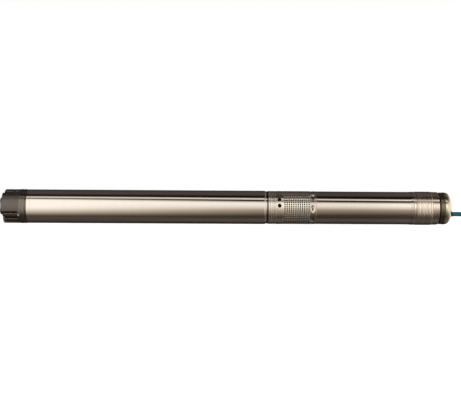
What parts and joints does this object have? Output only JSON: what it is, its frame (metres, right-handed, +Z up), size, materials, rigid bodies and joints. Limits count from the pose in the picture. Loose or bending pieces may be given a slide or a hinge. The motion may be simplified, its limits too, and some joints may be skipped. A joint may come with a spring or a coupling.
{
  "type": "borehole submersible pump",
  "caption": "Slim stainless borehole pump with a black threaded discharge head, perforated suction strainer, submersible motor and a coiled motor lead.",
  "frame": {"origin": "on the surface the pump lies on, under the middle of its length, the free lead left out", "axes": "+Z up, +X along the pump axis from the discharge head to the motor's end cap"},
  "size_m": [1.5598, 0.1753, 0.099],
  "materials": {
    "steel_insert": "turned, dull",
    "head_plastic": "moulded black, satin",
    "screw_steel": "bright",
    "inner_steel": "pressed stainless",
    "inner_plastic": "moulded",
    "black_rubber": "matte",
    "shell_steel": "fine circumferential grain",
    "shaft_steel": "ground",
    "bracket_steel": "turned, satin",
    "strainer_steel": "perforated sheet, satin",
    "collar_steel": "pressed, satin",
    "motor_steel": "fine circumferential grain",
    "bell_steel": "turned ridges",
    "cap_steel": "satin",
    "cast_bracket": "machined casting",
    "ceramic": "lapped ceramic",
    "carbon": "carbon",
    "lamination": "stacked sheet",
    "copper_winding": "enamelled copper",
    "lead_insulation": "insulation",
    "cable_blue": "smooth blue sheath",
    "core_insulation": "insulated cores",
    "tin": "tinned",
    "tie_black": "woven strap"
  },
  "bodies": {
    "pump": {"thread_insert": "steel_insert", "discharge_head": "head_plastic", "drain_screw": "screw_steel", "valve_guide": "inner_steel", "valve_spring": "inner_steel", "valve_seat": "inner_steel", "seat_retaining_ring": "inner_steel", "pump_shell": "shell_steel", "shell_o_rings": "black_rubber", "top_bearing_carrier": "inner_steel", "top_bearing_bush": "black_rubber", "diffuser_bowls": "inner_steel", "wear_rings": "black_rubber", "suction_bracket": "bracket_steel", "suction_bearing_bush": "black_rubber", "priming_plugs": "black_rubber", "guard_screw": "screw_steel", "strainer_screen": "strainer_steel", "strainer_collar": "collar_steel", "collar_screws": "screw_steel", "motor_studs": "screw_steel", "stud_nuts": "screw_steel", "seal_seat": "ceramic", "motor_top_bracket": "cast_bracket", "upper_bearing_bush": "carbon", "motor_shell": "motor_steel", "stator_core": "lamination", "stator_winding": "copper_winding", "stator_liner": "inner_steel", "lower_bearing_carrier": "cast_bracket", "lower_bearing_bush": "carbon", "thrust_housing": "cast_bracket", "thrust_pads": "carbon", "thrust_seat": "inner_steel", "pressure_diaphragm": "black_rubber", "diaphragm_cover": "inner_steel", "end_bell": "bell_steel", "cap_gasket": "black_rubber", "end_cap": "cap_steel", "cable_gland": "black_rubber", "motor_leads": "lead_insulation", "cable_lead": "cable_blue", "cable_coil": "cable_blue", "core_ends": "core_insulation", "ferrules": "tin", "coil_tie": "tie_black"},
    "rotor": {"impellers": "inner_steel", "spacer_sleeves": "inner_steel", "shaft_nut": "inner_steel", "pump_shaft": "shaft_steel", "shaft_coupling": "shaft_steel", "sand_slinger": "black_rubber", "seal_rotor": "ceramic", "rotor_core": "lamination", "rotor_cage": "copper_winding", "motor_shaft": "shaft_steel", "thrust_collar": "shaft_steel"},
    "valve": {"valve_poppet": "inner_plastic", "poppet_seal": "black_rubber"}
  },
  "joints": [
    {"name": "rotor_spin", "type": "hinge", "parent": "pump", "child": "rotor", "pos_m": [0, 0, 0.0495], "axis": [1, 0, 0], "continuous": true},
    {"name": "valve_lift", "type": "slide", "parent": "pump", "child": "valve", "axis": [-1, 0, 0], "range_m": [0, 0.008], "stiffness_N_per_m": 150, "springref_m": -0.012, "deforming": ["valve_spring"]}
  ]
}
